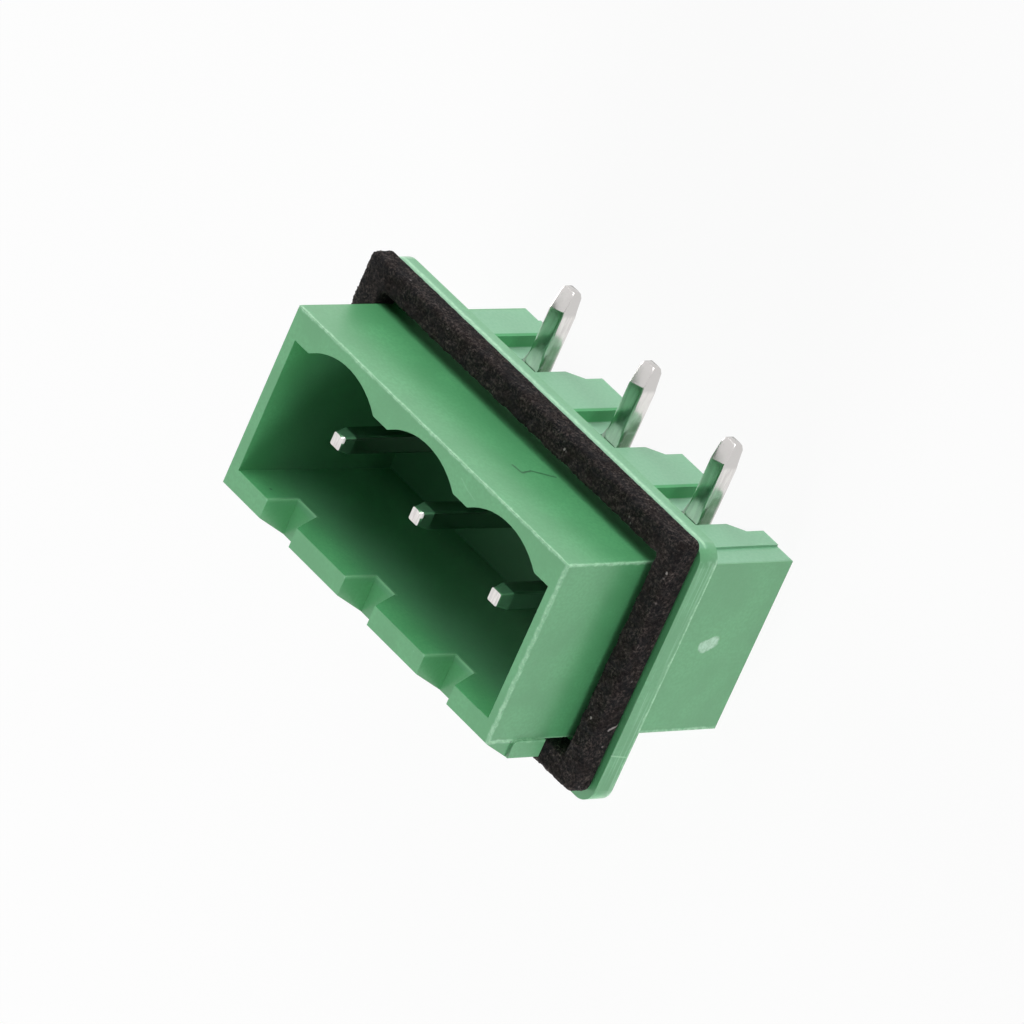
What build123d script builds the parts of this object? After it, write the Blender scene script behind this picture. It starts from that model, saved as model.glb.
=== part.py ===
from build123d import *

import os

# Three-way board header of a pluggable terminal block, for mounting through a panel.
# It stands on its rear face, with its mouth up.
# X runs along the row of contacts, Z points out of the mouth, and -Y faces the circuit board.
# The origin is where the middle contact's axis crosses the rear face. All sizes are in millimetres.

# Contacts: square wire, bent through a right angle
ways = 3
pitch = 5.08
contact_size = 0.8
contact_edge_break = 0.1
contact_reach = 6.75
contact_bend_radius = 0.6
tail_setback = 1.9
tail_reach = 3.05
blade_tip_length = 0.5
blade_tip_size = 0.54
tail_tip_length = 0.8
tail_tip_size = 0.56
tip_edge_break = 0.05

# Plug cavity, measured from the contact axes
cavity_end_gap = 2.97
cavity_board_gap = 2.55
cavity_lip_gap = 3.38
floor_wall = 1.4
arch_land = 0.5

# Shroud round the cavity
shroud_length = 4.9
end_wall = 0.49
board_wall = 1.25
arch_wall = 0.5
lip_wall = 0.6
lip_nose = 0.15
lip_height = 0.92
lip_lead_in = 1.57
lip_length = 2.8
lip_round = 0.22
lip_end_height = 0.75
lip_end_run = 0.35
lip_end_step = 0.1

# Coding notches in the lip side of the mouth, each with a low pad beside it, measured from the contact
notch_depth = 1.57
notch_near = 1.03
notch_far = 0.17
notch_flare = 0.7
pad_edge = 2.4
pad_height = 0.08
pad_length = 3.0

# Panel flange and its foam gasket
flange_thickness = 0.9
flange_end_overhang = 1.52
flange_board_overhang = 1.45
flange_lip_overhang = 2.17
flange_corner_radius = 0.75
gasket_thickness = 1.05
gasket_rim = 0.95
gasket_lip_rim = 0.8
gasket_end_inset = 0.3
gasket_board_overhang = 0.15
gasket_lip_inset = 0.42
gasket_corner_radius = 0.25

# Rear body, which sits on the board and holds the contacts
body_depth = 5.9
body_end_inset = 0.05
body_board_inset = 0.2
body_lip_outset = 0.07
seat_end_strip = 0.97
seat_end_drop = 0.08
relief_width = 1.43
relief_depth = 0.55
channel_near_width = 1.0
channel_near_taper = 0.63
channel_far_width = 0.7
channel_far_taper = 1.18
channel_entry_width = 1.52
channel_entry_length = 0.87
channel_clearance = 0.1

# Levels along Z, from the rear face to the mouth
flange_back = body_depth
flange_front = flange_back + flange_thickness
mouth = flange_front + shroud_length
channel_front = tail_setback + contact_bend_radius
cavity_floor = channel_front + floor_wall
arch_floor = flange_back + arch_land
contact_tip = cavity_floor + contact_reach

# Levels along X, from the middle of the row
row_half = pitch * (ways - 1) / 2
contact_places = [index * pitch - row_half for index in range(ways)]
cavity_half = row_half + cavity_end_gap
shroud_half = cavity_half + end_wall
flange_half = shroud_half + flange_end_overhang
gasket_half = flange_half - gasket_end_inset
body_half = shroud_half - body_end_inset

# Levels along Y, from the contact axes
board_side = -(cavity_board_gap + board_wall)
arch_radius = cavity_board_gap + board_wall - arch_wall
lip_side = cavity_lip_gap + lip_wall
lip_front = lip_side + lip_nose
lip_crest = lip_side + lip_height
lip_end_crest = lip_side + lip_end_height
flange_board = board_side - flange_board_overhang
flange_lip = lip_side + flange_lip_overhang
gasket_board = flange_board - gasket_board_overhang
gasket_lip = flange_lip - gasket_lip_inset
board_seat = board_side + body_board_inset
body_lip = lip_side + body_lip_outset
tail_tip = board_seat - tail_reach
channel_top = contact_size / 2 + channel_clearance

# Planes whose sketches read X across and Z up, looking towards +Y
seat_plane = Plane(origin=(0, board_seat, 0), x_dir=(1, 0, 0), z_dir=(0, -1, 0))
lip_plane = Plane(origin=(0, lip_crest, 0), x_dir=(1, 0, 0), z_dir=(0, -1, 0))
inner_lip_plane = Plane(origin=(0, cavity_lip_gap, 0), x_dir=(1, 0, 0), z_dir=(0, -1, 0))


def span(low, high):
    """Length and middle of a stretch between two levels."""
    return high - low, (low + high) / 2


# Housing: shroud, panel flange and rear body, moulded in one piece
shroud_height, shroud_middle = span(board_side, lip_side)
flange_height, flange_middle = span(flange_board, flange_lip)
body_height, body_middle = span(board_seat, body_lip)
cavity_height, cavity_middle = span(-cavity_board_gap, cavity_lip_gap)
arch_rise, arch_middle = span(-arch_radius, -cavity_board_gap)
relief_length, relief_middle = span(channel_entry_length, flange_back)
relief_spread, relief_shift = span(-channel_near_width, relief_width)
lip_slope = lip_lead_in / (lip_height - lip_nose)
lip_end_lead_in = lip_slope * (lip_end_height - lip_nose)

with BuildPart() as housing:
    # rear body
    with BuildSketch(Plane.XY):
        with Locations((0, body_middle)):
            Rectangle(2 * body_half, body_height)
    extrude(amount=body_depth)
    # panel flange
    with BuildSketch(Plane.XY.offset(flange_back)):
        with Locations((0, flange_middle)):
            RectangleRounded(2 * flange_half, flange_height, flange_corner_radius)
    extrude(amount=flange_thickness)
    # shroud
    with BuildSketch(Plane.XY.offset(flange_front)):
        with Locations((0, shroud_middle)):
            Rectangle(2 * shroud_half, shroud_height)
    extrude(amount=shroud_length)
    # latch lip along the shroud: a ramp at the mouth, a crest and a hooked back, lower at both ends
    for half_width, crest, lead_in in (
        (shroud_half - lip_end_run, lip_crest, lip_lead_in),
        (shroud_half, lip_end_crest, lip_end_lead_in),
    ):
        with BuildSketch(Plane.YZ) as lip_profile:
            with BuildLine():
                Polyline(
                    (cavity_lip_gap, mouth),
                    (lip_front, mouth),
                    (crest, mouth - lead_in),
                    (crest, mouth - lip_length),
                    (cavity_lip_gap, mouth - lip_length),
                    close=True,
                )
            make_face()
            crest_back = lip_profile.vertices().group_by(Axis.Y)[-1].sort_by(Axis.Z)[0]
            fillet(crest_back, radius=lip_round)
        extrude(amount=half_width, both=True)
    # the low ends of the crest stand a little proud of both end walls
    with BuildSketch(Plane.YZ) as lip_end_profile:
        with BuildLine():
            Polyline(
                (lip_side, mouth - lip_end_lead_in),
                (lip_end_crest, mouth - lip_end_lead_in),
                (lip_end_crest, mouth - lip_length),
                (lip_side, mouth - lip_length),
                close=True,
            )
        make_face()
        crest_back = lip_end_profile.vertices().group_by(Axis.Y)[-1].sort_by(Axis.Z)[0]
        fillet(crest_back, radius=lip_round)
    extrude(amount=shroud_half + lip_end_step, both=True)
    # plug cavity
    with BuildSketch(Plane.XY.offset(mouth)):
        with Locations((0, cavity_middle)):
            Rectangle(2 * cavity_half, cavity_height)
    extrude(amount=cavity_floor - mouth, mode=Mode.SUBTRACT)
    # an arch over each contact in the board-side wall, down to the level of the flange
    with BuildSketch(Plane.XY.offset(mouth)):
        with Locations(*[(place, 0) for place in contact_places]):
            Circle(arch_radius)
        with Locations((0, arch_middle)):
            Rectangle(2 * cavity_half, arch_rise, mode=Mode.INTERSECT)
    extrude(amount=arch_floor - mouth, mode=Mode.SUBTRACT)
    # coding notches through the lip side, straight on one side and flared on the other
    for place in contact_places:
        with BuildSketch(lip_plane):
            with BuildLine():
                Polyline(
                    (place + notch_near, mouth),
                    (place + notch_near, mouth - notch_depth),
                    (place - notch_far, mouth - notch_depth),
                    (place - notch_far - notch_flare, mouth),
                    close=True,
                )
            make_face()
        extrude(amount=lip_crest - cavity_lip_gap, mode=Mode.SUBTRACT)
    # rear channels for the tails, open to the back and to the board, with a wide entry
    for place in contact_places:
        with BuildSketch(seat_plane):
            with BuildLine():
                Polyline(
                    (place - channel_entry_width, 0),
                    (place - channel_entry_width, channel_entry_length),
                    (place - channel_near_width, channel_entry_length + channel_near_taper),
                    (place - channel_near_width, channel_front),
                    (place + channel_far_width, channel_front),
                    (place + channel_far_width, channel_entry_length + channel_far_taper),
                    (place + channel_entry_width, channel_entry_length),
                    (place + channel_entry_width, 0),
                    close=True,
                )
            make_face()
        extrude(amount=board_seat - channel_top, mode=Mode.SUBTRACT)
    # shallow reliefs from the channels to the flange, so that solder stays clear of the seat
    with BuildSketch(seat_plane):
        with Locations(*[(place + relief_shift, relief_middle) for place in contact_places]):
            Rectangle(relief_spread, relief_length)
    extrude(amount=-relief_depth, mode=Mode.SUBTRACT)
    # low strips at both ends of the seat
    with BuildSketch(seat_plane):
        strip_place = body_half - seat_end_strip / 2
        with Locations((-strip_place, body_depth / 2), (strip_place, body_depth / 2)):
            Rectangle(seat_end_strip, body_depth)
    extrude(amount=-seat_end_drop, mode=Mode.SUBTRACT)
    # square holes of the contacts' own size, which grip them by press fit
    with BuildSketch(Plane.XY.offset(channel_front)):
        with Locations(*[(place, 0) for place in contact_places]):
            Rectangle(contact_size, contact_size)
    extrude(amount=floor_wall, mode=Mode.SUBTRACT)
    # low pads inside the lip-side wall, one beside each notch
    with BuildSketch(inner_lip_plane):
        with BuildLine():
            for place in contact_places:
                Polyline(
                    (place - pad_edge, mouth),
                    (place - notch_far - notch_flare, mouth),
                    (place - notch_far, mouth - notch_depth),
                    (place - notch_far, mouth - pad_length),
                    (place - pad_edge, mouth - pad_length),
                    close=True,
                )
        make_face()
    extrude(amount=pad_height)
housing.part.label = "housing"

# Gasket: a die-cut foam frame that lies on the flange; its hole just clears the shroud and the lip
gasket_height, gasket_middle = span(gasket_board, gasket_lip)
hole_height, hole_middle = span(gasket_board + gasket_rim, gasket_lip - gasket_lip_rim)

with BuildPart() as gasket:
    with BuildSketch(Plane.XY.offset(flange_front)):
        with Locations((0, gasket_middle)):
            RectangleRounded(2 * gasket_half, gasket_height, gasket_corner_radius)
        with Locations((0, hole_middle)):
            Rectangle(2 * (gasket_half - gasket_rim), hole_height, mode=Mode.SUBTRACT)
    extrude(amount=gasket_thickness)
gasket.part.label = "gasket"


def bent_contact(place):
    """One contact: a straight blade in the cavity, bent down to a solder tail, with tapered tips."""
    blade_shoulder = contact_tip - blade_tip_length
    tail_shoulder = tail_tip + tail_tip_length
    with BuildPart() as contact:
        # square wire along its bent route
        with BuildLine() as route:
            FilletPolyline(
                (place, 0, blade_shoulder),
                (place, 0, tail_setback),
                (place, tail_shoulder, tail_setback),
                radius=contact_bend_radius,
            )
        with BuildSketch(Plane(origin=route.line @ 0, x_dir=(1, 0, 0), z_dir=route.line % 0)):
            RectangleRounded(contact_size, contact_size, contact_edge_break)
        sweep()
        # blunt tip of the blade
        with BuildSketch(Plane.XY.offset(blade_shoulder)):
            with Locations((place, 0)):
                RectangleRounded(contact_size, contact_size, contact_edge_break)
        with BuildSketch(Plane.XY.offset(contact_tip)):
            with Locations((place, 0)):
                RectangleRounded(blade_tip_size, blade_tip_size, tip_edge_break)
        loft()
        # longer taper of the tail
        shoulder_plane = Plane(origin=(place, tail_shoulder, tail_setback), x_dir=(1, 0, 0), z_dir=(0, -1, 0))
        with BuildSketch(shoulder_plane):
            RectangleRounded(contact_size, contact_size, contact_edge_break)
        with BuildSketch(shoulder_plane.offset(tail_tip_length)):
            RectangleRounded(tail_tip_size, tail_tip_size, tip_edge_break)
        loft()
    return contact


os.makedirs("parts", exist_ok=True)
export_step(housing.part, "parts/housing.step")
export_step(gasket.part, "parts/gasket.step")
for number, place in enumerate(contact_places, start=1):
    contact = bent_contact(place)
    contact.part.label = f"contact_{number}"
    export_step(contact.part, f"parts/contact_{number}.step")
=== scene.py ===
"""Looks of a three-way board header of a pluggable terminal block.

The header stands on its rear face with its mouth up, on white paper, as the photograph's camera sees it.
"""
import math

import bmesh
import bpy
import numpy as np
from bpy.props import FloatProperty, FloatVectorProperty, IntProperty, PointerProperty, StringProperty
from mathutils import Matrix, Vector


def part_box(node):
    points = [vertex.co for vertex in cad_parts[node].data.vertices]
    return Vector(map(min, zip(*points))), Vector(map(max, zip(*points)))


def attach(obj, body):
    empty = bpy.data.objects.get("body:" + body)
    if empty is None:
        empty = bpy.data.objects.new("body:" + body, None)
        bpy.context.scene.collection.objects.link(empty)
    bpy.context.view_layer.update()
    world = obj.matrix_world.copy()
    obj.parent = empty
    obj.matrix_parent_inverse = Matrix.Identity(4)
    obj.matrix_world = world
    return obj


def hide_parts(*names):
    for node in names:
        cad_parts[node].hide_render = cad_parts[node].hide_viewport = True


bl_info = {
    "name": "Pluggable Header",
    "version": (1, 0, 0),
    "blender": (4, 5, 0),
    "location": "View3D > Sidebar > Header",
    "description": "Dresses a three-way board header: moulded housing, foam gasket, tinned contacts",
    "category": "Object",
}

MM = 0.001
WHITE = (1.0, 1.0, 1.0, 1.0)

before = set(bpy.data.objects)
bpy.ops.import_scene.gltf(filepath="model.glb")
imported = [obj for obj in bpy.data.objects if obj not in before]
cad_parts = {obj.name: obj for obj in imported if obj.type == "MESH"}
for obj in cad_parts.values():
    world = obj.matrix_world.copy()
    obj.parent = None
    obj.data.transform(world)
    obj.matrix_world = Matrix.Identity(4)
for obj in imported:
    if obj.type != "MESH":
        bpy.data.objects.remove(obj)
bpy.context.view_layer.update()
GASKET_LOW, GASKET_HIGH = [np.array(corner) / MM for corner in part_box("gasket")]
CONTACTS = sorted(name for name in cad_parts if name.startswith("contact_"))
TAIL_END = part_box("contact_1")[0][1] / MM
BLADE_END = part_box("contact_1")[1][2] / MM

# Half lengths of the housing along X, the ways' pitch, and from a way to its recess's wall, in millimetres
FLANGE_HALF = 10.06
SHROUD_HALF = 8.54
BODY_HALF = 8.49
CAVITY_HALF = 8.05
PITCH = 5.08
RECESS_WALL = 1.49

# Levels of the housing along Y, from the board side to the lip, in millimetres
FLANGE_SIDE = -5.25
BOARD_SIDE = -3.8
END_STRIP = -3.52
RECESS_FLOOR = -3.05
LIP_GAP = 3.38
LIP_SIDE = 3.98

# Levels of the housing along Z, from the cavity's floor up, in millimetres
FLOOR = 3.9
FLANGE_BACK = 5.9
MOUTH = 11.7

# Straight edges of the housing with ragged flash and a painted highlight, in millimetres: the axis each
# runs along, a point on it
FLASH = (("X", (0, BOARD_SIDE, MOUTH)), ("Z", (-SHROUD_HALF, BOARD_SIDE, 0)),
         ("Z", (-SHROUD_HALF, LIP_SIDE + 0.04, 0)), ("Y", (-FLANGE_HALF, 0, FLANGE_BACK)))
WIDE_FLASH = (("Y", (-8.47, 0, MOUTH)), ("X", (0, FLANGE_SIDE, 6.42)))

# Marks on the housing as the photograph shows them, in millimetres
# the notch edges carry a painted highlight
NOTCH_EDGES = ((1.03, 3.28, MOUTH), (1.03, 3.3, 10.13), (-0.17, 3.3, 10.13))
PITS = ((6.78, 3.29, 11.03), (0.95, 3.29, 11.36))
SCRATCH = ((-2.16, -3.29, MOUTH), (-2.66, -3.1, MOUTH), (-3.17, -3.0, MOUTH))
CRACK = ((-2.16, BOARD_SIDE, 9.38), (-2.68, BOARD_SIDE, 9.32), (-2.57, BOARD_SIDE, 8.8),
         (-3.02, BOARD_SIDE, 7.9))
SCUFF = ((-BODY_HALF, 0.05, 2.28), (-BODY_HALF, 0.2, 2.62))
# painted shade: the dark line where the lip's step ends
STEP_SHADE_LINE = ((-8.6, 4.05, 10.55), (-8.6, 4.65, 10.5))
WITNESS_LINE = ((-FLANGE_HALF, 3.82, 6.85), (-FLANGE_HALF, 3.94, FLANGE_BACK))

# Marks on the gasket: three grains of dust and a fibre, in millimetres
DUST = ((-2.79, -4.88, 7.83), (-9.25, 2.62, 7.83), (-9.64, -4.07, 7.81))
FIBRE = ((-9.79, 2.85, 7.25), (-9.79, 2.62, 6.9))

# The coined tip of a tail, in millimetres: distance from its end, half sides to +X, -X, front and rear
TAIL_TIP = ((0.9, 0.4, 0.38, 0.4, 0.37), (0.22, 0.4, 0.34, 0.23, 0.33),
            (0.06, 0.34, 0.28, 0.15, 0.26), (0.0, 0.26, 0.2, 0.08, 0.18))

# How far each blade leans at its tip along X and Y, in millimetres, from the -X end
BLADE_LEANS = ((0.04, 0.035), (0.04, -0.075), (-0.01, -0.02))

# Wide soft lights, low beside the header, in metres: name, place, and the setting that gives the power
LIGHTS = (("board side", (0.05, -0.28, 0.10), "board_light"),
          ("row end", (0.28, -0.02, 0.10), "row_light"),
          ("lip side", (-0.02, 0.28, 0.10), "lip_light"))
LIGHT_SIZE = 0.22


# Numbers and colours

def linear(code):
    """An sRGB hex colour as linear red, green, blue and alpha."""
    srgb = np.array([int(code[i:i + 2], 16) for i in (1, 3, 5)]) / 255
    low = srgb / 12.92
    high = ((srgb + 0.055) / 1.055) ** 2.4
    return (*np.where(srgb <= 0.04045, low, high), 1.0)


def ripple(points, wavelength, seed, waves):
    """Smooth noise of about -1 to 1: a sum of seeded plane waves of about one wavelength, in mm."""
    rng = np.random.default_rng(seed)
    directions = rng.normal(size=(waves, 3))
    directions /= np.linalg.norm(directions, axis=1, keepdims=True)
    numbers = 2 * np.pi / (wavelength * rng.uniform(0.7, 1.5, waves))
    phases = rng.uniform(0, 2 * np.pi, waves)
    return np.sin(points @ (directions * numbers[:, None]).T + phases).sum(axis=-1) / math.sqrt(waves)


# Meshes

def grid_faces(rows, columns, close_rows=False):
    """Quads of a grid of points whose columns close on themselves, and its rows too if asked."""
    r = np.arange(rows if close_rows else rows - 1)[:, None]
    c = np.arange(columns)[None, :]
    r_next = (r + 1) % rows
    c_next = (c + 1) % columns
    corners = [r * columns + c, r * columns + c_next, r_next * columns + c_next, r_next * columns + c]
    return np.stack(corners, axis=-1).reshape(-1, 4)


def new_piece(name, points, faces, material):
    """An object of these points, in millimetres, that rides on the root body."""
    mesh = bpy.data.meshes.new(name)
    mesh.from_pydata((points * MM).tolist(), [], [list(face) for face in faces])
    mesh.update()
    piece = bpy.data.objects.new(name, mesh)
    return place_piece(piece, material)


def place_piece(piece, material):
    """Links a finished object, gives it its material and seats it on the root body."""
    bpy.context.scene.collection.objects.link(piece)
    piece.data.materials.clear()
    piece.data.materials.append(material)
    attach(piece, "root")
    return piece


def shade_smooth(mesh, sharp_edges=None):
    """Smooth faces, with creases at the edges that are marked."""
    mesh.polygons.foreach_set("use_smooth", np.ones(len(mesh.polygons), bool))
    if sharp_edges is not None:
        sharp = mesh.attributes.get("sharp_edge") or mesh.attributes.new("sharp_edge", "BOOLEAN", "EDGE")
        sharp.data.foreach_set("value", sharp_edges)
    mesh.update()


def weigh_normals(piece):
    """Flat faces shade flat and only the rounded edges between them turn."""
    weigh = piece.modifiers.new("flat faces", "WEIGHTED_NORMAL")
    weigh.mode = "FACE_AREA"
    weigh.weight = 100
    weigh.keep_sharp = True


# Material nodes

def add_node(tree, kind, inputs=None, **settings):
    """A node with its settings, and with each input set to a value or linked to a socket."""
    node = tree.nodes.new(kind)
    for name, value in settings.items():
        setattr(node, name, value)
    for key, value in (inputs or {}).items():
        if isinstance(value, bpy.types.NodeSocket):
            tree.links.new(value, node.inputs[key])
        else:
            node.inputs[key].default_value = value
    return node


def new_material(name):
    """A material with an empty node tree."""
    material = bpy.data.materials.new(name)
    material.use_nodes = True
    material.node_tree.nodes.clear()
    return material, material.node_tree


def millimetres(tree):
    """Object coordinates in millimetres."""
    place = add_node(tree, "ShaderNodeTexCoord").outputs["Object"]
    scaled = add_node(tree, "ShaderNodeVectorMath", {0: place, "Scale": 1 / MM}, operation="SCALE")
    return scaled.outputs[0]


def in_one_way(tree, x):
    """X from the middle of its own way, so that a mark repeats at each way."""
    wrapped = add_node(tree, "ShaderNodeMath", {0: x, 1: PITCH / 2, 2: -PITCH / 2}, operation="WRAP")
    return wrapped.outputs[0]


def fold(tree, operation, values):
    """Several values made one by an operation that takes two at a time."""
    result = values[0]
    for value in values[1:]:
        result = add_node(tree, "ShaderNodeMath", {0: result, 1: value}, operation=operation).outputs[0]
    return result


def product(tree, *shares):
    """The shares multiplied, so that all of them have to hold."""
    return fold(tree, "MULTIPLY", shares)


def greatest(tree, *shares):
    """The greatest of the shares, so that one of them has to hold."""
    return fold(tree, "MAXIMUM", shares)


def least(tree, *values):
    """The smallest of the values."""
    return fold(tree, "MINIMUM", values)


def fade(tree, value, low, high, start=0.0, end=1.0):
    """A smooth step of the value from start at low to end at high."""
    return add_node(tree, "ShaderNodeMapRange",
                    {"Value": value, "From Min": low, "From Max": high, "To Min": start, "To Max": end},
                    interpolation_type="SMOOTHSTEP").outputs["Result"]


def mark(tree, distance, core, reach, strength=1.0):
    """A mark of this strength within its core, fading out at its reach."""
    return fade(tree, distance, core, reach, strength, 0.0)


def near(tree, value, level, reach, core):
    """1 where the value is within the core of a level, fading out at its reach."""
    offset = add_node(tree, "ShaderNodeMath", {0: value, 1: level}, operation="SUBTRACT").outputs[0]
    distance = add_node(tree, "ShaderNodeMath", {0: offset}, operation="ABSOLUTE").outputs[0]
    return fade(tree, distance, reach, core)


def patches(tree, place, size, low, high, start=0.0, end=1.0, detail=2.0, roughness=0.5):
    """A share from start to end, as a noise with features of about this size goes from low to high."""
    uneven = add_node(tree, "ShaderNodeTexNoise",
                      {"Vector": place, "Scale": 1 / size, "Detail": detail, "Roughness": roughness})
    return fade(tree, uneven.outputs["Fac"], low, high, start, end)


def paint(tree, colour, share, code):
    """The colour turning into an sRGB hex colour as the share goes from 0 to 1."""
    mix = add_node(tree, "ShaderNodeMix", {"Factor": share, 6: colour, 7: linear(code)}, data_type="RGBA")
    return mix.outputs[2]


def seen_rays(tree):
    """1 for rays that look at a thing or its mirror image, 0 for those that gather soft light."""
    rays = add_node(tree, "ShaderNodeLightPath").outputs
    return greatest(tree, rays["Is Camera Ray"], rays["Is Glossy Ray"], rays["Is Transmission Ray"])


def point_distance(tree, place, point):
    """Distance from a point, in millimetres."""
    distance = add_node(tree, "ShaderNodeVectorMath", {0: place, 1: point}, operation="DISTANCE")
    return distance.outputs["Value"]


def edge_distance(tree, place, axis, point):
    """Distance from an endless line along X, Y or Z through a point that is 0 on that axis."""
    keep = [0.0 if name == axis else 1.0 for name in "XYZ"]
    return point_distance(tree, stretched(tree, place, keep), point)


def line_distance(tree, place, start, end):
    """Distance from a straight line between two points."""
    along = Vector(end) - Vector(start)
    from_start = add_node(tree, "ShaderNodeVectorMath", {0: place, 1: start},
                          operation="SUBTRACT").outputs[0]
    share = add_node(tree, "ShaderNodeVectorMath", {0: from_start, 1: along / along.length_squared},
                     operation="DOT_PRODUCT").outputs["Value"]
    share = add_node(tree, "ShaderNodeClamp", {"Value": share}).outputs[0]
    foot = add_node(tree, "ShaderNodeVectorMath", {0: along, "Scale": share}, operation="SCALE").outputs[0]
    return point_distance(tree, from_start, foot)


def route_distance(tree, place, points):
    """Distance from a broken line through several points."""
    return least(tree, *[line_distance(tree, place, start, end) for start, end in zip(points, points[1:])])


def stretched(tree, place, scale):
    """The place squeezed along each axis, so that a noise runs in streaks."""
    return add_node(tree, "ShaderNodeVectorMath", {0: place, 1: scale}, operation="MULTIPLY").outputs[0]


def wobble(tree, place, size, amount):
    """The place pushed about by a noise, so that a straight line drawn there runs unevenly."""
    push = add_node(tree, "ShaderNodeTexNoise", {"Vector": place, "Scale": 1 / size, "Detail": 3.0})
    push = add_node(tree, "ShaderNodeVectorMath", {0: push.outputs["Color"], 1: (0.5, 0.5, 0.5)},
                    operation="SUBTRACT").outputs[0]
    push = add_node(tree, "ShaderNodeVectorMath", {0: push, "Scale": amount}, operation="SCALE").outputs[0]
    return add_node(tree, "ShaderNodeVectorMath", {0: place, 1: push}, operation="ADD").outputs[0]


def grains(tree, place, spacing, size):
    """Scattered round grains of this size, one to a cell of this spacing, in millimetres."""
    cells = add_node(tree, "ShaderNodeTexVoronoi", {"Vector": place, "Scale": 1 / spacing})
    return mark(tree, cells.outputs["Distance"], 0.3 * size / spacing, size / spacing)


# Materials

def resin_colour(tree, place, grain, settings):
    """Cloudy green resin under draw marks, painted sheen and painted shade, and the share of the painted
    shade that also loses its glossy skin.
    """
    x, y, z = add_node(tree, "ShaderNodeSeparateXYZ", {0: place}).outputs
    off_x, off_y = [add_node(tree, "ShaderNodeMath", {0: way}, operation="ABSOLUTE").outputs[0]
                    for way in (x, y)]
    # clouds of 1.6 mm and the resin's grain
    clouds = patches(tree, place, 1.6, 0.3, 0.7, detail=3.0)
    colour = paint(tree, linear(settings.deep_green), clouds, settings.light_green)
    colour = paint(tree, colour, fade(tree, grain, 0.35, 0.65, 0.0, 0.6), settings.deep_green)
    # draw marks of the mould, 0.1 to 0.15 mm apart: along Z on the walls, and along Y on the flange's ends
    drawn = patches(tree, stretched(tree, place, (1.0, 1.0, 0.06)), 0.15, 0.45, 0.8, end=0.35)
    colour = paint(tree, colour, drawn, settings.deep_green)
    cut = patches(tree, stretched(tree, place, (1.0, 0.03, 1.0)), 0.1, 0.48, 0.68, end=0.35)
    on_end = near(tree, off_x, FLANGE_HALF, 0.08, 0.03)
    colour = paint(tree, colour, product(tree, on_end, cut), settings.flash_and_highlight_green)
    # painted sheen on the board side of the rear: the flange's edge, and the seats and recesses of the
    # body
    on_flange = product(tree, fade(tree, z, FLANGE_BACK + 0.2, FLANGE_BACK + 0.5, 0.25, 1.0),
                        near(tree, y, FLANGE_SIDE, 0.15, 0.05))
    on_body = product(tree, fade(tree, z, FLANGE_BACK, FLANGE_BACK - 0.05),
                      fade(tree, off_x, BODY_HALF - 0.05, BODY_HALF - 0.11))
    on_seat = product(tree, on_body, fade(tree, y, END_STRIP + 0.02, END_STRIP + 0.005))
    rear_sheen = product(tree, greatest(tree, on_flange, on_seat), fade(tree, grain, 0.35, 0.65, 1.0, 0.8))
    colour = paint(tree, colour, rear_sheen, settings.rear_sheen_green)
    # the recesses of the ways: painted shade on the walls and painted sheen on the floors
    wall = product(tree, on_body, near(tree, in_one_way(tree, x), RECESS_WALL, 0.18, 0.07),
                   fade(tree, y, RECESS_FLOOR - 0.02, RECESS_FLOOR - 0.05))
    colour = paint(tree, colour, wall, settings.shade_green)
    recess = product(tree, on_body, near(tree, y, RECESS_FLOOR, 0.08, 0.02))
    colour = paint(tree, colour, recess, settings.recess_sheen_green)
    # a greyer painted light on the walls of the mouth, and painted shade on its floor and the 2 mm above
    # that
    inside = product(tree, fade(tree, off_x, CAVITY_HALF + 0.35, CAVITY_HALF + 0.25),
                     fade(tree, off_y, LIP_GAP + 0.27, LIP_GAP + 0.12))
    deep = product(tree, fade(tree, z, FLOOR - 0.1, FLOOR - 0.05), fade(tree, z, MOUTH - 0.3, MOUTH - 3.2))
    dust_and_painted_light = product(tree, inside, deep)
    colour = paint(tree, colour, dust_and_painted_light, settings.mouth_light_green)
    mouth_floor_shade = product(tree, dust_and_painted_light, fade(tree, z, FLOOR + 2.1, FLOOR))
    colour = paint(tree, colour, mouth_floor_shade, settings.floor_shade_green)
    # where shade is painted the glossy skin goes too: all of it on the recess walls, two fifths of it on
    # the floor of the mouth
    return colour, greatest(tree, wall, product(tree, mouth_floor_shade, 0.4))


def flash_and_highlight_share(tree, place):
    """Flash and painted highlight: a thin pale line along the parting edges, partly flash squeezed out
    there and partly a painted edge highlight, in a fine line with ragged bursts; and a painted highlight
    on the notch edges.
    """
    uneven = wobble(tree, place, 0.35, 0.17)
    fine = least(tree, *[edge_distance(tree, uneven, axis, point) for axis, point in FLASH])
    wide = least(tree, *[edge_distance(tree, uneven, axis, point) for axis, point in WIDE_FLASH])
    flash = greatest(tree, mark(tree, fine, 0.04, 0.13), mark(tree, wide, 0.03, 0.14))
    bursts = patches(tree, place, 0.2, 0.44, 0.6, 0.55, 1.0, roughness=0.7)
    # a painted highlight on the edges of the coding notches, the same at each way
    x, y, z = add_node(tree, "ShaderNodeSeparateXYZ", {0: place}).outputs
    in_way = add_node(tree, "ShaderNodeCombineXYZ", {0: in_one_way(tree, x), 1: y, 2: z}).outputs[0]
    notch_highlight = mark(tree, route_distance(tree, in_way, NOTCH_EDGES), 0.03, 0.15, 0.35)
    return greatest(tree, product(tree, flash, bursts), notch_highlight)


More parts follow.
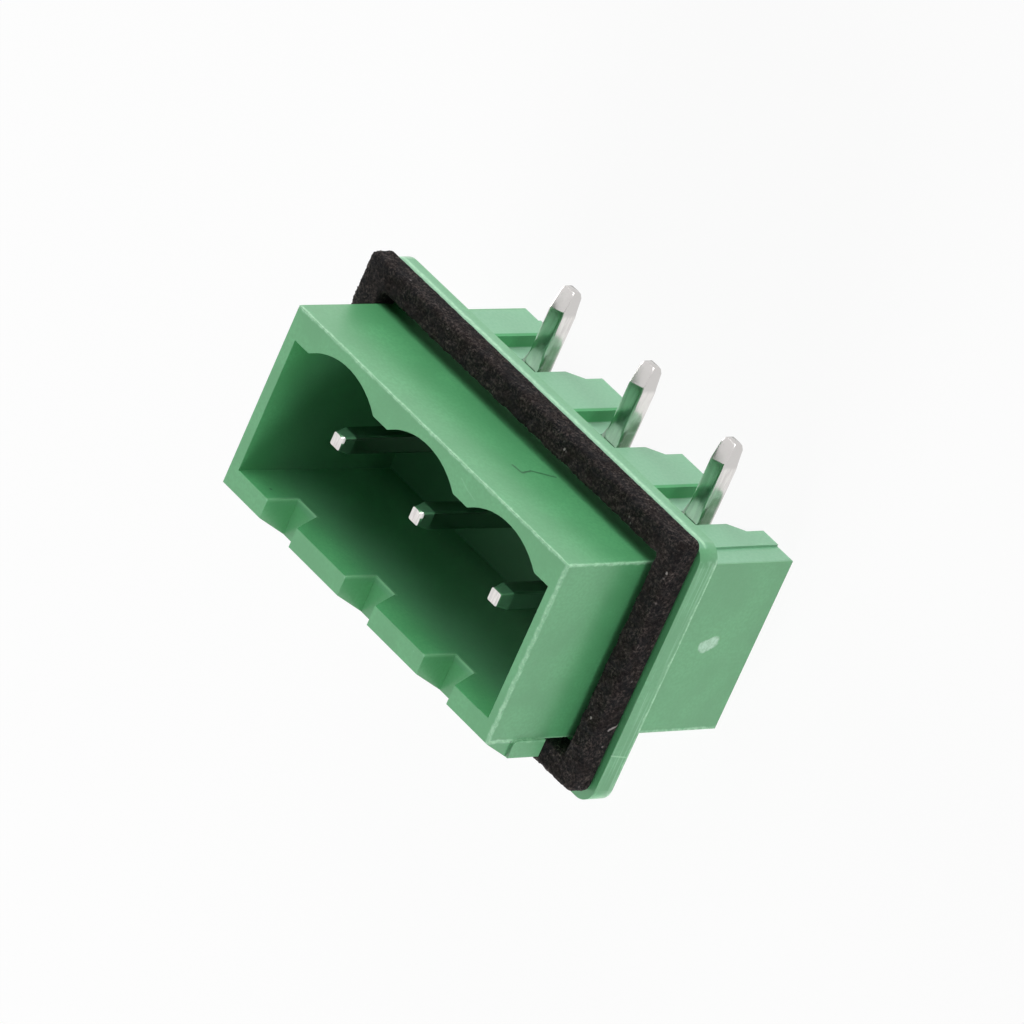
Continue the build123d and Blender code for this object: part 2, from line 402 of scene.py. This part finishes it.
def moulded_polyamide(settings):
    """Injection-moulded green polyamide: satin, faintly cloudy, with flash, a fine crack and a scuff, and
    painted highlights, sheen and shade.
    """
    material, tree = new_material("moulded green polyamide")
    place = millimetres(tree)
    # resin grain, drawn at 0.12 mm, as coarse as it needs to show
    grain = add_node(tree, "ShaderNodeTexNoise", {"Vector": place, "Scale": 1 / 0.12}).outputs["Fac"]
    colour, dulled = resin_colour(tree, place, grain, settings)
    # pale marks: flash with a painted edge highlight, a painted highlight on the notch edges, the mould's
    # witness line on the flange's end, a scratch, and specks of 0.05 mm
    pale = greatest(tree, product(tree, flash_and_highlight_share(tree, place), 0.9),
                    mark(tree, line_distance(tree, place, *WITNESS_LINE), 0.01, 0.05, 0.5),
                    mark(tree, route_distance(tree, place, SCRATCH), 0.01, 0.04, 0.15),
                    product(tree, grains(tree, place, 2.0, 0.05), 0.5))
    colour = paint(tree, colour, pale, settings.flash_and_highlight_green)
    # dark marks: a hairline crack in the board-side wall, a line of painted shade where the lip's step
    # ends, two pits
    crack = route_distance(tree, wobble(tree, place, 0.25, 0.08), CRACK)
    pits = least(tree, *[point_distance(tree, place, pit) for pit in PITS])
    dark = greatest(tree, mark(tree, crack, 0.01, 0.075, 0.9),
                    mark(tree, line_distance(tree, place, *STEP_SHADE_LINE), 0.05, 0.09, 0.7),
                    mark(tree, pits, 0.03, 0.09, 0.95))
    colour = paint(tree, colour, dark, settings.crack_and_shade_green)
    # a scuff on the end of the rear body, with a few bright grains
    scuff = mark(tree, line_distance(tree, wobble(tree, place, 0.25, 0.25), *SCUFF), 0.2, 0.34)
    bright = patches(tree, place, 0.13, 0.36, 0.6, 0.6, 1.0, detail=3.0, roughness=0.7)
    colour = paint(tree, colour, product(tree, scuff, bright), settings.scuff_green)
    # where shade is painted the resin mirrors less
    skin = fade(tree, dulled, 0.0, 1.0, settings.skin, 0.0)
    mirror = fade(tree, dulled, 0.0, 1.0, 0.5, 0.1)
    roughness = fade(tree, grain, 0.2, 0.8, settings.roughness - 0.05, settings.roughness + 0.07)
    bump = add_node(tree, "ShaderNodeBump", {"Height": grain, "Strength": 0.6, "Distance": 0.007 * MM})
    shader = add_node(tree, "ShaderNodeBsdfPrincipled",
                      {"Base Color": colour, "Roughness": roughness, "Normal": bump.outputs[0],
                       "IOR": 1.53, "Specular IOR Level": mirror, "Coat Weight": skin,
                       "Coat Roughness": settings.skin_roughness})
    add_node(tree, "ShaderNodeOutputMaterial", {"Surface": shader.outputs[0]})
    return material


def cellular_rubber(settings):
    """Die-cut closed-cell foam rubber: black, matt, velvety with torn cells, with dust and a fibre."""
    material, tree = new_material("die-cut foam rubber")
    place = millimetres(tree)
    tint = patches(tree, place, 0.7, 0.35, 0.65, detail=3.0)
    colour = paint(tree, linear(settings.warm_black), tint, settings.cool_black)
    # torn cell walls catch the light, at 0.12 mm, in patches of 0.4 mm
    cells = add_node(tree, "ShaderNodeTexNoise", {"Vector": place, "Scale": 1 / 0.12, "Detail": 4.0,
                                                  "Roughness": 0.75}).outputs["Fac"]
    torn = product(tree, fade(tree, cells, 0.42, 0.75), patches(tree, place, 0.4, 0.35, 0.65, 0.35, 1.0))
    colour = paint(tree, colour, torn, settings.torn_brown)
    # dust of about 0.07 mm in some of the patches, three larger grains, and a fibre
    spots = least(tree, *[point_distance(tree, place, spot) for spot in DUST])
    dust_and_painted_light = patches(tree, place, 0.4, 0.5, 0.6, end=0.45)
    dust = greatest(tree, product(tree, grains(tree, place, 0.5, 0.07), dust_and_painted_light),
                    mark(tree, spots, 0.03, 0.08),
                    mark(tree, line_distance(tree, place, *FIBRE), 0.02, 0.055))
    colour = paint(tree, colour, dust, settings.dust_grey)
    bump = add_node(tree, "ShaderNodeBump", {"Height": cells, "Strength": 1.0, "Distance": 0.06 * MM})
    # half the usual mirror share: the open cells swallow the rest
    shader = add_node(tree, "ShaderNodeBsdfPrincipled",
                      {"Base Color": colour, "Roughness": 0.9, "Normal": bump.outputs[0], "IOR": 1.4,
                       "Specular IOR Level": 0.25})
    add_node(tree, "ShaderNodeOutputMaterial", {"Surface": shader.outputs[0]})
    return material


def tin_plate(settings):
    """Bright tin plating on drawn wire: a soft mirror, faintly uneven, with painted shade on the blades.
    """
    material, tree = new_material("bright tin plate")
    place = millimetres(tree)
    roughness = patches(tree, place, 0.5, 0.3, 0.7, settings.roughness - 0.03, settings.roughness + 0.05)
    uneven = add_node(tree, "ShaderNodeTexNoise", {"Vector": place, "Scale": 1 / 0.4}).outputs["Fac"]
    bump = add_node(tree, "ShaderNodeBump", {"Height": uneven, "Strength": 0.3, "Distance": 0.002 * MM})
    # drawing lines along the tail, 0.15 mm apart
    lines = patches(tree, stretched(tree, place, (1.0, 0.15, 1.0)), 0.15, 0.35, 0.65)
    colour = paint(tree, linear(settings.dull_tin), lines, settings.tin)
    # the coined ends of the tails are greyer, and the blades below their sheared ends, down past the floor
    # of the mouth, are darkened with painted shade
    y, z = add_node(tree, "ShaderNodeSeparateXYZ", {0: place}).outputs[1:]
    coined_from = TAIL_END + TAIL_TIP[0][0]
    coined = fade(tree, y, coined_from + 0.2, coined_from)
    colour = paint(tree, colour, coined, settings.coined_tin)
    shank_shade = product(tree, fade(tree, z, BLADE_END - 0.03, BLADE_END - 0.1),
                    fade(tree, z, FLOOR - 0.9, FLOOR))
    colour = paint(tree, colour, shank_shade, settings.shank_shade_tin)
    shader = add_node(tree, "ShaderNodeBsdfPrincipled",
                      {"Base Color": colour, "Metallic": 1.0, "Roughness": roughness,
                       "Normal": bump.outputs[0]})
    add_node(tree, "ShaderNodeOutputMaterial", {"Surface": shader.outputs[0]})
    return material


def white_floor(settings):
    """Seamless white paper: matt, bright to the camera, and it keeps the header's soft shadow."""
    material, tree = new_material("white paper floor")
    paper = add_node(tree, "ShaderNodeBsdfDiffuse", {"Color": linear(settings.paper)})
    glow = add_node(tree, "ShaderNodeEmission", {"Color": WHITE, "Strength": 1.0})
    share = product(tree, seen_rays(tree), settings.glow)
    mixed = add_node(tree, "ShaderNodeMixShader", {0: share, 1: paper.outputs[0], 2: glow.outputs[0]})
    add_node(tree, "ShaderNodeOutputMaterial", {"Surface": mixed.outputs[0]})
    return material


# Settings

class HousingSettings(bpy.types.PropertyGroup):
    """Sizes and colours of the moulded housing."""
    edge_radius: FloatProperty(name="Edge radius", description="Radius of the moulded edges",
                               default=0.05 * MM, unit="LENGTH", precision=6)
    edge_steps: IntProperty(name="Edge steps", description="Faces across each rounded edge", default=2,
                            min=1)
    edge_angle: FloatProperty(name="Edge angle", description="Edges sharper than this are rounded",
                              default=math.radians(25), subtype="ANGLE")
    draft: FloatProperty(name="Draft", description="How far the lip's inner wall leans in at the mouth",
                         default=0.1 * MM, unit="LENGTH", precision=6)
    deep_green: StringProperty(name="Deep green", description="Darker cloud of the resin",
                               default="#509F67")
    light_green: StringProperty(name="Light green", description="Lighter cloud of the resin",
                                default="#5AAD72")
    # painted sheen on the board side of the rear
    rear_sheen_green: StringProperty(name="Rear sheen green", description="Resin behind the flange",
                                default="#6CB085")
    # a greyer painted light inside the mouth
    mouth_light_green: StringProperty(name="Mouth green", description="Dusty resin inside the mouth",
                                default="#64A37B")
    # painted shade on the floor of the mouth and the walls near it
    floor_shade_green: StringProperty(name="Floor green",
                                description="Floor of the mouth and the walls near it", default="#447E59")
    shade_green: StringProperty(name="Shade green", description="Walls of the recesses",
                                default="#5AA871")
    # painted sheen on the floors of the recesses
    recess_sheen_green: StringProperty(name="Recess green", description="Floors of the recesses",
                                 default="#A2D2B4")
    # also paints the highlights along the edges and the notches
    flash_and_highlight_green: StringProperty(name="Flash green", description="Thin flash along the edges",
                                default="#A6DDB4")
    # also paints the shade line where the lip's step ends
    crack_and_shade_green: StringProperty(name="Crack green", description="Inside of the crack", default="#2C5C3C")
    scuff_green: StringProperty(name="Scuff green", description="Rubbed resin", default="#B8E0C6")
    roughness: FloatProperty(name="Roughness", description="Satin of the resin", default=0.45,
                             subtype="FACTOR")
    skin: FloatProperty(name="Skin", description="Share of the glossy moulded skin", default=1.0,
                        subtype="FACTOR")
    skin_roughness: FloatProperty(name="Skin roughness", description="Blur of the moulded skin",
                                  default=0.3, subtype="FACTOR")


class GasketSettings(bpy.types.PropertyGroup):
    """Sizes and colours of the foam gasket."""
    board_rim: FloatProperty(name="Board rim", description="Width of the bar on the board side",
                             default=1.12 * MM, unit="LENGTH", precision=6)
    lip_rim: FloatProperty(name="Lip rim", description="Width of the bar on the lip side",
                           default=1.15 * MM, unit="LENGTH", precision=6)
    near_rim: FloatProperty(name="Near rim", description="Width of the bar at the -X end",
                            default=1.05 * MM, unit="LENGTH", precision=6)
    far_rim: FloatProperty(name="Far rim", description="Width of the bar at the +X end", default=1.3 * MM,
                           unit="LENGTH", precision=6)
    corner: FloatProperty(name="Corner", description="Outer corner radius", default=0.25 * MM,
                          unit="LENGTH", precision=6)
    creep_low: FloatVectorProperty(name="Creep to -X and -Y",
                                   description="How far the soft frame has crept out",
                                   default=(0.06 * MM, 0.04 * MM), size=2, unit="LENGTH", precision=6)
    creep_high: FloatVectorProperty(name="Creep to +X and +Y",
                                    description="How far the soft frame has crept out",
                                    default=(0.1 * MM, -0.07 * MM), size=2, unit="LENGTH", precision=6)
    edge: FloatProperty(name="Edge", description="Rounding of the cut edges", default=0.17 * MM,
                        unit="LENGTH", precision=6)
    unevenness: FloatProperty(name="Unevenness", description="Depth of the foam's lumps",
                              default=0.06 * MM, unit="LENGTH", precision=6)
    nap: FloatProperty(name="Nap", description="Height of the torn cells", default=0.012 * MM,
                       unit="LENGTH", precision=6)
    warm_black: StringProperty(name="Warm black", description="Foam in a warm cast", default="#151010")
    cool_black: StringProperty(name="Cool black", description="Foam in a cool cast", default="#0F1013")
    torn_brown: StringProperty(name="Torn brown", description="Torn cell walls", default="#645A56")
    dust_grey: StringProperty(name="Dust grey", description="Grains of dust", default="#A9A09F")


class ContactSettings(bpy.types.PropertyGroup):
    """Sizes and colours of the contacts."""
    size: FloatProperty(name="Wire", description="Side of the square wire", default=0.8 * MM,
                        unit="LENGTH", precision=6)
    edge: FloatProperty(name="Edge", description="Rounding of the wire's edges", default=0.1 * MM,
                        unit="LENGTH", precision=6)
    bend: FloatProperty(name="Bend", description="Radius of the bend's middle line", default=0.6 * MM,
                        unit="LENGTH", precision=6)
    blade_taper: FloatProperty(name="Blade taper", description="Length of the blade's tapered tip",
                               default=0.5 * MM, unit="LENGTH", precision=6)
    blade_tip: FloatProperty(name="Blade tip", description="Side of the blade's blunt end",
                             default=0.54 * MM, unit="LENGTH", precision=6)
    facet: FloatProperty(name="Facet", description="Size of the sheared facet on the blade's end",
                         default=0.07 * MM, unit="LENGTH", precision=6)
    skew: FloatProperty(name="Skew", description="Slant of the line where the tail's coined tip begins",
                        default=0.2 * MM, unit="LENGTH", precision=6)
    tin: StringProperty(name="Tin", description="Colour of the plating", default="#E6E3E0")
    dull_tin: StringProperty(name="Dull tin", description="Plating where it has dulled",
                             default="#D6D2D0")
    coined_tin: StringProperty(name="Coined tin", description="Plating at the coined ends of the tails",
                               default="#CECBC9")
    # painted shade on the blades inside the mouth
    shank_shade_tin: StringProperty(name="Shank tin", description="Dull plating of the blades",
                              default="#B2B5B2")
    roughness: FloatProperty(name="Roughness", description="Blur of the plating", default=0.16,
                             subtype="FACTOR")


class StageSettings(bpy.types.PropertyGroup):
    """Camera, light and floor."""
    camera_place: FloatVectorProperty(name="Camera place",
                                      description="Where the photograph was taken from",
                                      default=(-0.20553, -0.14814, 0.24740), subtype="TRANSLATION")
    camera_right: FloatVectorProperty(name="Camera right",
                                      description="Direction of the picture's right side",
                                      default=(-0.58156, -0.37280, -0.72306), subtype="DIRECTION")
    camera_back: FloatVectorProperty(name="Camera back",
                                     description="Direction from the header to the camera",
                                     default=(-0.58715, -0.42285, 0.69026), subtype="DIRECTION")
    lens: FloatProperty(name="Lens", description="Focal length for a 36 mm sensor, in millimetres",
                        default=330.9, unit="CAMERA")
    horizon: FloatProperty(name="Horizon", description="Strength of the light tent at its foot",
                           default=2.55)
    zenith: FloatProperty(name="Zenith", description="Strength of the light tent overhead", default=0.0)
    board_light: FloatProperty(name="Board light", description="Power of the light on the board side",
                               default=0.4, unit="POWER")
    row_light: FloatProperty(name="Row light", description="Power of the light past the row's +X end",
                             default=0.4, unit="POWER")
    lip_light: FloatProperty(name="Lip light", description="Power of the light on the lip side",
                             default=1.0, unit="POWER")
    paper: StringProperty(name="Paper", description="Colour of the floor", default="#F2F2F2")
    glow: FloatProperty(name="Glow", description="Share of plain white in the floor as seen",
                        default=0.93, subtype="FACTOR")


class HeaderSettings(bpy.types.PropertyGroup):
    """All settings of the header."""
    housing: PointerProperty(type=HousingSettings)
    gasket: PointerProperty(type=GasketSettings)
    contacts: PointerProperty(type=ContactSettings)
    stage: PointerProperty(type=StageSettings)


# Pieces

class HEADER_OT_housing(bpy.types.Operator):
    """Rounds the edges of the moulded housing and gives it its resin"""
    bl_idname = "header.housing"
    bl_label = "Moulded housing"

    def execute(self, context):
        settings = context.scene.header.housing
        same_place = 0.001 * MM
        same_plane = math.radians(0.5)
        body = bmesh.new()
        body.from_mesh(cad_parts["housing"].data)
        bmesh.ops.remove_doubles(body, verts=body.verts, dist=same_place)
        bmesh.ops.dissolve_limit(body, angle_limit=same_plane, verts=body.verts, edges=body.edges)
        # the lip's inner wall leans in by the draft of the mould
        for vertex in body.verts:
            if abs(vertex.co.y - LIP_GAP * MM) < 10 * same_place and vertex.co.z > FLOOR * MM:
                vertex.co.y -= settings.draft * (vertex.co.z / MM - FLOOR) / (MOUTH - FLOOR)
        edges = [edge for edge in body.edges
                 if len(edge.link_faces) == 2 and edge.calc_face_angle() > settings.edge_angle]
        bmesh.ops.bevel(body, geom=edges, offset=settings.edge_radius, offset_type="OFFSET",
                        segments=settings.edge_steps, profile=0.5, affect="EDGES", clamp_overlap=True)
        mesh = bpy.data.meshes.new("moulded_housing")
        body.to_mesh(mesh)
        body.free()
        shade_smooth(mesh)
        piece = bpy.data.objects.new("moulded_housing", mesh)
        place_piece(piece, moulded_polyamide(settings))
        weigh_normals(piece)
        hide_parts("housing")
        return {"FINISHED"}


def rounded_rectangle(low, high, radius, corner_steps, side_steps):
    """Points round a rectangle: a quarter circle at a corner, then the straight side, four times."""
    middles = [(high[0] - radius, high[1] - radius), (low[0] + radius, high[1] - radius),
               (low[0] + radius, low[1] + radius), (high[0] - radius, low[1] + radius)]
    arcs = []
    for index, middle in enumerate(middles):
        angles = np.pi / 2 * (index + np.linspace(0, 1, corner_steps))
        arcs.append(np.array(middle) + radius * np.stack([np.cos(angles), np.sin(angles)], axis=-1))
    pieces = []
    for index, arc in enumerate(arcs):
        following = arcs[(index + 1) % 4]
        share = np.linspace(0, 1, side_steps[index % 2] + 1)[1:-1, None]
        pieces += [arc, arc[-1] * (1 - share) + following[0] * share]
    return np.concatenate(pieces)


class HEADER_OT_gasket(bpy.types.Operator):
    """Makes the foam gasket as a rounded bar carried round the flange"""
    bl_idname = "header.gasket"
    bl_label = "Foam gasket"

    def execute(self, context):
        settings = context.scene.header.gasket
        points, middle = self.bar(settings)
        points -= self.wear(points, middle, settings)
        rows, columns = points.shape[:2]
        faces = grid_faces(rows, columns, close_rows=True)
        piece = new_piece("foam_gasket", points.reshape(-1, 3), faces, cellular_rubber(settings))
        shade_smooth(piece.data)
        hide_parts("gasket")
        return {"FINISHED"}

    def bar(self, settings):
        """A rounded section that spans from the outer outline to the hole's, and the bar's middle line."""
        # faces about as small as the foam's cells, in millimetres
        step = 0.07
        corner_steps = 6
        edge_steps = 5
        hole_corner = 0.15
        low_rims = np.array((settings.near_rim, settings.board_rim)) / MM
        high_rims = np.array((settings.far_rim, settings.lip_rim)) / MM
        low = GASKET_LOW[:2] - np.array(settings.creep_low) / MM
        high = GASKET_HIGH[:2] + np.array(settings.creep_high) / MM
        thickness = GASKET_HIGH[2] - GASKET_LOW[2]
        side_steps = [round(side / step) for side in high - low]
        outer = rounded_rectangle(low, high, settings.corner / MM, corner_steps, side_steps)
        inner = rounded_rectangle(low + low_rims, high - high_rims, hole_corner, corner_steps, side_steps)
        section = rounded_rectangle((0, 0), (1, thickness), settings.edge / MM, edge_steps,
                                    [round(1 / step), round(thickness / step)])
        across = section[:, 0]
        points = np.empty((len(outer), len(section), 3))
        points[..., :2] = outer[:, None] * (1 - across[:, None]) + inner[:, None] * across[:, None]
        points[..., 2] = GASKET_LOW[2] + section[:, 1]
        half_way = np.full(len(outer), GASKET_LOW[2] + thickness / 2)
        return points, np.column_stack([(outer + inner) / 2, half_way])

    def wear(self, points, middle, settings):
        """Lumps and nap push in towards the middle line, less and less down to the flange."""
        # pressed flat up to the first height over the flange, free the second one above that
        pressed = 0.02
        rise = 0.3
        free = np.clip((points[..., 2] - GASKET_LOW[2] - pressed) / rise, 0, 1)
        outward = points - middle[:, None]
        outward /= np.linalg.norm(outward, axis=-1, keepdims=True)
        # lumps of 0.6 and 0.3 mm
        lumps = 0.6 * ripple(points, 0.6, 3, 48) + 0.4 * ripple(points, 0.3, 4, 64)
        nap = np.random.default_rng(5).normal(size=points.shape[:2])
        depth = settings.unevenness / MM * 0.5 * (1 + np.clip(lumps, -1, 1)) + settings.nap / MM * nap
        return outward * (depth * free)[..., None]


class HEADER_OT_contacts(bpy.types.Operator):
    """Makes each contact as a rounded square carried along its bent route, tapered at both tips"""
    bl_idname = "header.contacts"
    bl_label = "Tinned contacts"

    def execute(self, context):
        settings = context.scene.header.contacts
        material = tin_plate(settings)
        for name in CONTACTS:
            self.make(name, settings, material)
        return {"FINISHED"}

    def route(self, low, high, settings):
        """Y, Z and turn of the middle line, and the wire's half sides there to +X, -X, front and rear.

        It runs from the blade's end down, round a quarter circle and out to the tail's end.
        """
        size = settings.size / MM
        bend = settings.bend / MM
        taper = settings.blade_taper / MM
        blunt = settings.blade_tip / MM / 2
        axis_y = high[1] - size / 2
        axis_z = low[2] + size / 2
        # rings just behind the blade's end, just off the bend and just before the tail's tip
        behind = 0.1
        off_bend = 0.05
        before_tip = 0.15
        tip = np.array(TAIL_TIP)
        blade_z = high[2] - np.array([0.0, behind, taper, high[2] - axis_z - bend - off_bend])
        angles = np.linspace(0, np.pi / 2, 13)
        tail_y = np.concatenate([[axis_y - bend - off_bend, low[1] + tip[0, 0] + before_tip],
                                 low[1] + tip[:, 0]])
        y = np.concatenate([np.full(len(blade_z), axis_y), axis_y - bend + bend * np.cos(angles), tail_y])
        z = np.concatenate([blade_z, axis_z + bend - bend * np.sin(angles), np.full(len(tail_y), axis_z)])
        turn = np.concatenate([np.zeros(len(blade_z)), angles, np.full(len(tail_y), np.pi / 2)])
        halves = np.full((len(y), 4), size / 2)
        halves[0] = blunt
        halves[1] = blunt + (size / 2 - blunt) * behind / taper
        halves[-len(tip):] = tip[:, 1:]
        return y, z, turn, halves

    def make(self, name, settings, material):
        """The section at each ring is square to the route and as wide as the half sides there."""
        low, high = [np.array(corner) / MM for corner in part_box(name)]
        x = (low[0] + high[0]) / 2
        y, z, turn, halves = self.route(low, high, settings)
        section = rounded_rectangle((-1, -1), (1, 1), 2 * settings.edge / settings.size,
                                    corner_steps=8, side_steps=[4, 4])
        rows, columns = len(y), len(section)
        side = np.where(section[:, 0] > 0, halves[:, 0:1], halves[:, 1:2]) * section[:, 0]
        across = np.where(section[:, 1] < 0, halves[:, 2:3], halves[:, 3:4]) * section[:, 1]
        points = np.empty((rows, columns, 3))
        points[..., 0] = x + side
        points[..., 1] = y[:, None] + across * np.cos(turn)[:, None]
        points[..., 2] = z[:, None] - across * np.sin(turn)[:, None]
        # the line where the tail's tip begins is slanted
        tip_row = rows - len(TAIL_TIP)
        points[tip_row, :, 1] += settings.skew / MM * section[:, 0] / 2
        # the shear has left a facet on one corner of the blade's end, except on the -X contact
        corner = np.clip(-section[:, 0] - section[:, 1] - 1, 0, 1)
        if x > -PITCH / 2:
            points[0, :, :2] += (settings.facet / MM * corner)[:, None]
        # the blade leans more and more from the cavity's floor up
        lean = np.array(BLADE_LEANS[round(x / PITCH) + 1])
        points[..., :2] += lean * np.clip((points[..., 2:] - FLOOR) / (high[2] - FLOOR), 0, 1)
        faces = grid_faces(rows, columns).tolist()
        faces.append(list(range(columns))[::-1])
        faces.append(list(range((rows - 1) * columns, rows * columns)))
        piece = new_piece(f"tinned_{name}", points.reshape(-1, 3), faces, material)
        mesh = piece.data
        ends = np.empty(len(mesh.edges) * 2, np.int64)
        mesh.edges.foreach_get("vertices", ends)
        row_of = ends.reshape(-1, 2) // columns
        creases = [0, 1, 2, tip_row, tip_row + 1]
        shade_smooth(mesh, (row_of[:, 0] == row_of[:, 1]) & np.isin(row_of[:, 0], creases))
        weigh_normals(piece)
        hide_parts(name)


class HEADER_OT_stage(bpy.types.Operator):
    """Sets the camera, the white surroundings, the soft lights and the paper floor"""
    bl_idname = "header.stage"
    bl_label = "Stage"

    def execute(self, context):
        settings = context.scene.header.stage
        scene = context.scene
        scene.view_settings.view_transform = "Standard"
        self.camera(scene, settings)
        self.world(scene, settings)
        self.light(scene, settings)
        self.floor(settings)
        return {"FINISHED"}

    def camera(self, scene, settings):
        """A long lens at the place that the photograph's edges give."""
        right = Vector(settings.camera_right).normalized()
        back = Vector(settings.camera_back).normalized()
        up = back.cross(right)
        lens = bpy.data.cameras.new("camera")
        lens.sensor_width = 36
        lens.lens = settings.lens
        lens.clip_start = 0.01
        lens.clip_end = 10
        camera = bpy.data.objects.new("camera", lens)
        turn = Matrix((right, up, back)).transposed().to_4x4()
        camera.matrix_world = Matrix.Translation(settings.camera_place) @ turn
        scene.collection.objects.link(camera)
        scene.camera = camera

    def world(self, scene, settings):
        """A light tent: bright walls fading to a dark roof, and plain white as seen or mirrored."""
        world = bpy.data.worlds.new("light tent")
        world.use_nodes = True
        tree = world.node_tree
        tree.nodes.clear()
        direction = add_node(tree, "ShaderNodeTexCoord").outputs["Generated"]
        height = add_node(tree, "ShaderNodeSeparateXYZ", {0: direction}).outputs["Z"]
        # the walls end between 3 and 25 degrees up
        strength = fade(tree, height, 0.05, 0.42, settings.horizon, settings.zenith)
        tent = add_node(tree, "ShaderNodeBackground", {"Color": WHITE, "Strength": strength}).outputs[0]
        white = add_node(tree, "ShaderNodeBackground", {"Color": WHITE, "Strength": 1.0}).outputs[0]
        mixed = add_node(tree, "ShaderNodeMixShader", {0: seen_rays(tree), 1: tent, 2: white})
        add_node(tree, "ShaderNodeOutputWorld", {"Surface": mixed.outputs[0]})
        scene.world = world

    def light(self, scene, settings):
        """The lights are low, so that the header's deep cavity stays dark."""
        for name, place, power in LIGHTS:
            lamp = bpy.data.lights.new(name, "AREA")
            lamp.shape = "DISK"
            lamp.size = LIGHT_SIZE
            lamp.energy = getattr(settings, power)
            piece = bpy.data.objects.new(name, lamp)
            turn = Vector(place).to_track_quat("Z", "Y").to_matrix().to_4x4()
            piece.matrix_world = Matrix.Translation(place) @ turn
            scene.collection.objects.link(piece)

    def floor(self, settings):
        """A flat round sheet under the header, 1.5 m in radius: rings of points about its middle."""
        radii = np.array([1, 20, 60, 200, 1500])
        angles = np.linspace(0, 2 * np.pi, 64, endpoint=False)
        points = np.zeros((len(radii), len(angles), 3))
        points[..., 0] = radii[:, None] * np.cos(angles)
        points[..., 1] = radii[:, None] * np.sin(angles)
        faces = grid_faces(len(radii), len(angles)).tolist()
        faces = [face[::-1] for face in faces] + [list(range(len(angles)))]
        mesh = bpy.data.meshes.new("paper_floor")
        mesh.from_pydata((points.reshape(-1, 3) * MM).tolist(), [], faces)
        mesh.materials.append(white_floor(settings))
        floor = bpy.data.objects.new("paper_floor", mesh)
        bpy.context.scene.collection.objects.link(floor)


class HEADER_PT_sidebar(bpy.types.Panel):
    """Lists the header's pieces and the stage"""
    bl_idname = "HEADER_PT_sidebar"
    bl_label = "Pluggable header"
    bl_space_type = "VIEW_3D"
    bl_region_type = "UI"
    bl_category = "Header"

    def draw(self, context):
        settings = context.scene.header
        groups = ((HEADER_OT_housing, settings.housing), (HEADER_OT_gasket, settings.gasket),
                  (HEADER_OT_contacts, settings.contacts), (HEADER_OT_stage, settings.stage))
        for operator, group in groups:
            box = self.layout.box()
            box.operator(operator.bl_idname)
            for name in group.__annotations__:
                box.prop(group, name)


CLASSES = (HousingSettings, GasketSettings, ContactSettings, StageSettings, HeaderSettings,
           HEADER_OT_housing, HEADER_OT_gasket, HEADER_OT_contacts, HEADER_OT_stage, HEADER_PT_sidebar)


def register():
    for kind in CLASSES:
        bpy.utils.register_class(kind)
    bpy.types.Scene.header = PointerProperty(type=HeaderSettings)


def unregister():
    del bpy.types.Scene.header
    for kind in reversed(CLASSES):
        bpy.utils.unregister_class(kind)


def main():
    """Makes every piece and the stage."""
    register()
    bpy.ops.header.housing()
    bpy.ops.header.gasket()
    bpy.ops.header.contacts()
    bpy.ops.header.stage()


if __name__ == "__main__":
    main()
